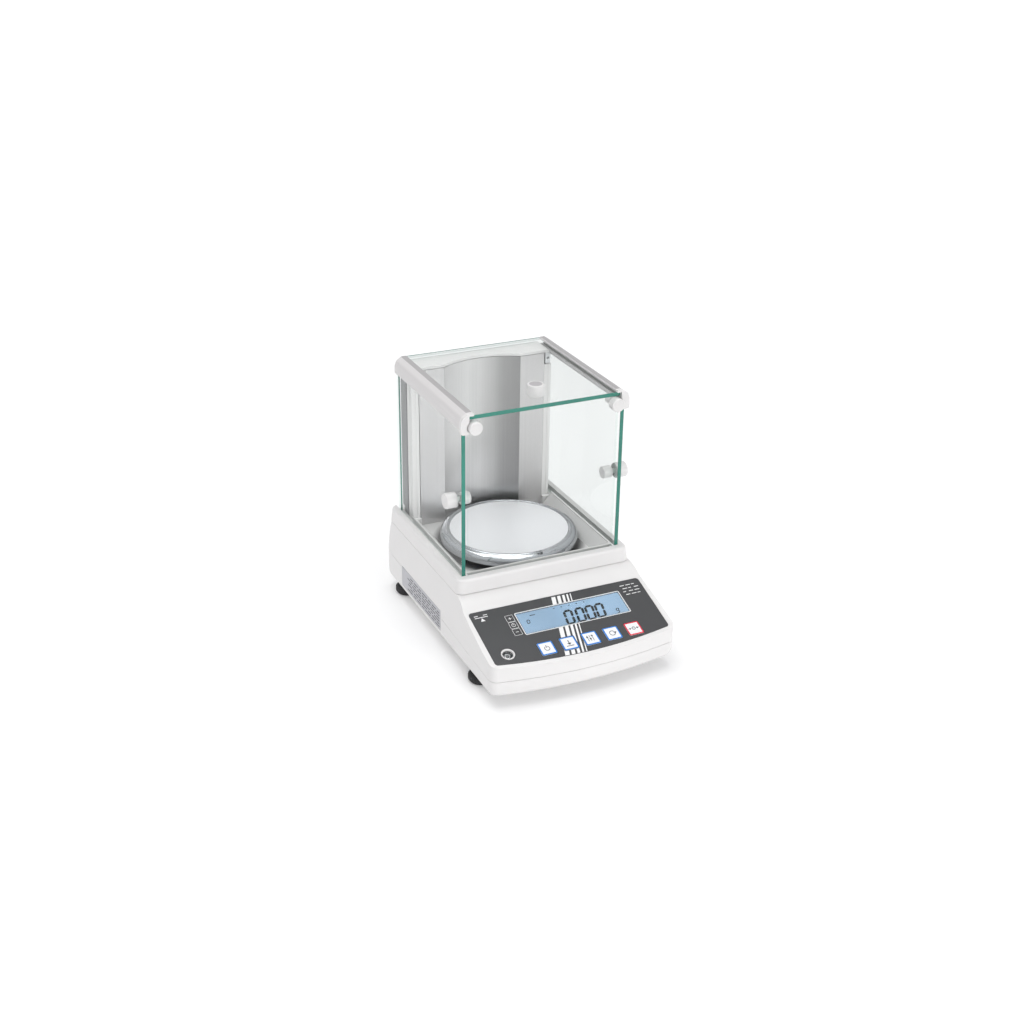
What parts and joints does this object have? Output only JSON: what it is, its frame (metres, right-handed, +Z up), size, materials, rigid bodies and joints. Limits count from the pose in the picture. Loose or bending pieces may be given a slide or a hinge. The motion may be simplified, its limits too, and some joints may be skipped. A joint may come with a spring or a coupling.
{
  "type": "analytical balance",
  "caption": "Laboratory balance with a round steel plate inside a glass draft shield, sliding side and top doors, sloping keypad with a lit display, and levelling feet.",
  "frame": {"origin": "on the supporting surface, under the middle of the balance's bounding box", "axes": "+X to the operator's right, +Y from the operator towards the rear, +Z up"},
  "size_m": [0.196, 0.286, 0.269],
  "materials": {
    "white_plastic": "moulded, satin",
    "knob_plastic": "moulded, slightly glossy",
    "dark_foil": "printed dark grey foil",
    "key_blue": "printed white with a blue edge",
    "key_red": "printed white with a red edge",
    "clear_window": "clear",
    "display": "backlit light blue",
    "circuit_board": "green solder mask",
    "black_plastic": "moulded",
    "rail_profile": "light grey extruded profile",
    "rear_cover_paint": "dark grey",
    "pane_glass": "clear float glass with green edges",
    "brushed_sheet": "brushed",
    "satin_steel": "satin with a polished rim",
    "plain_metal": "machined",
    "steel_fittings": "zinc plated",
    "brass_insert": "plain",
    "label_foil": "silver foil, matt",
    "foot_rubber": "matt black"
  },
  "bodies": {
    "balance_frame": {"bottom_shell": "white_plastic", "top_housing": "white_plastic", "keypad_overlay": "dark_foil", "display_window": "clear_window", "lcd_module": "display", "display_board": "circuit_board", "level_bezel": "white_plastic", "level_vial": "black_plastic", "level_lens": "clear_window", "shield_tray": "white_plastic", "right_rail": "rail_profile", "left_rail": "rail_profile", "right_rail_cap": "white_plastic", "left_rail_cap": "white_plastic", "front_glass": "pane_glass", "right_pane_nut": "white_plastic", "left_pane_nut": "white_plastic", "rear_panel": "brushed_sheet", "rear_header": "rail_profile", "rear_cover": "rear_cover_paint", "right_post": "white_plastic", "left_post": "white_plastic", "right_rail_bracket": "plain_metal", "left_rail_bracket": "plain_metal", "pan_support": "plain_metal", "load_cell": "plain_metal", "load_cell_mount": "plain_metal", "main_board": "circuit_board", "power_jack": "black_plastic", "serial_port": "steel_fittings", "type_label": "label_foil", "nut_front_left": "brass_insert", "screw_front_left": "steel_fittings", "nut_front_right": "brass_insert", "screw_front_right": "steel_fittings", "nut_rear_left": "brass_insert", "screw_rear_left": "steel_fittings", "nut_rear_right": "brass_insert", "screw_rear_right": "steel_fittings"},
    "pan": {"weighing_plate": "satin_steel"},
    "left_door": {"left_door_glass": "pane_glass", "left_door_knob": "knob_plastic", "left_knob_nut": "knob_plastic"},
    "right_door": {"right_door_glass": "pane_glass", "right_door_knob": "knob_plastic", "right_knob_nut": "knob_plastic"},
    "top_door": {"top_door_glass": "pane_glass", "top_door_knob": "knob_plastic"},
    "left_thumb": {"left_thumb_screw": "knob_plastic"},
    "right_thumb": {"right_thumb_screw": "knob_plastic"},
    "key_cap_on_off": {"key_on_off": "key_blue"},
    "key_cap_print": {"key_print": "key_blue"},
    "key_cap_set": {"key_set": "key_blue"},
    "key_cap_function": {"key_function": "key_blue"},
    "key_cap_tare": {"key_tare": "key_red"},
    "level_foot_front_left": {"foot_front_left": "foot_rubber"},
    "level_foot_front_right": {"foot_front_right": "foot_rubber"},
    "level_foot_rear_left": {"foot_rear_left": "foot_rubber"},
    "level_foot_rear_right": {"foot_rear_right": "foot_rubber"}
  },
  "joints": [
    {"name": "left_door_slide", "type": "slide", "parent": "balance_frame", "child": "left_door", "axis": [0, 1, 0], "range_m": [0, 0.122]},
    {"name": "right_door_slide", "type": "slide", "parent": "balance_frame", "child": "right_door", "axis": [0, 1, 0], "range_m": [0, 0.122]},
    {"name": "top_door_slide", "type": "slide", "parent": "balance_frame", "child": "top_door", "axis": [0, 1, 0], "range_m": [0, 0.125]},
    {"name": "plate_lift", "type": "slide", "parent": "balance_frame", "child": "pan", "axis": [0, 0, 1], "range_m": [0, 0.08]},
    {"name": "left_thumb_turn", "type": "hinge", "parent": "balance_frame", "child": "left_thumb", "pos_m": [-0.0742, -0.0388, 0.2458], "axis": [0, -1, 0], "range_deg": [0, 720]},
    {"name": "right_thumb_turn", "type": "hinge", "parent": "balance_frame", "child": "right_thumb", "pos_m": [0.0742, -0.0388, 0.2458], "axis": [0, -1, 0], "range_deg": [0, 720]},
    {"name": "key_on_off_press", "type": "slide", "parent": "balance_frame", "child": "key_cap_on_off", "axis": [0, 0.301, -0.9536], "range_m": [0, 0.0008], "stiffness_N_per_m": 2500},
    {"name": "key_print_press", "type": "slide", "parent": "balance_frame", "child": "key_cap_print", "axis": [0, 0.301, -0.9536], "range_m": [0, 0.0008], "stiffness_N_per_m": 2500},
    {"name": "key_set_press", "type": "slide", "parent": "balance_frame", "child": "key_cap_set", "axis": [0, 0.301, -0.9536], "range_m": [0, 0.0008], "stiffness_N_per_m": 2500},
    {"name": "key_function_press", "type": "slide", "parent": "balance_frame", "child": "key_cap_function", "axis": [0, 0.301, -0.9536], "range_m": [0, 0.0008], "stiffness_N_per_m": 2500},
    {"name": "key_tare_press", "type": "slide", "parent": "balance_frame", "child": "key_cap_tare", "axis": [0, 0.301, -0.9536], "range_m": [0, 0.0008], "stiffness_N_per_m": 2500},
    {"name": "foot_front_left_height", "type": "slide", "parent": "balance_frame", "child": "level_foot_front_left", "axis": [0, 0, 1], "range_m": [-0.008, 0.002]},
    {"name": "foot_front_right_height", "type": "slide", "parent": "balance_frame", "child": "level_foot_front_right", "axis": [0, 0, 1], "range_m": [-0.008, 0.002]},
    {"name": "foot_rear_left_height", "type": "slide", "parent": "balance_frame", "child": "level_foot_rear_left", "axis": [0, 0, 1], "range_m": [-0.008, 0.002]},
    {"name": "foot_rear_right_height", "type": "slide", "parent": "balance_frame", "child": "level_foot_rear_right", "axis": [0, 0, 1], "range_m": [-0.008, 0.002]}
  ]
}
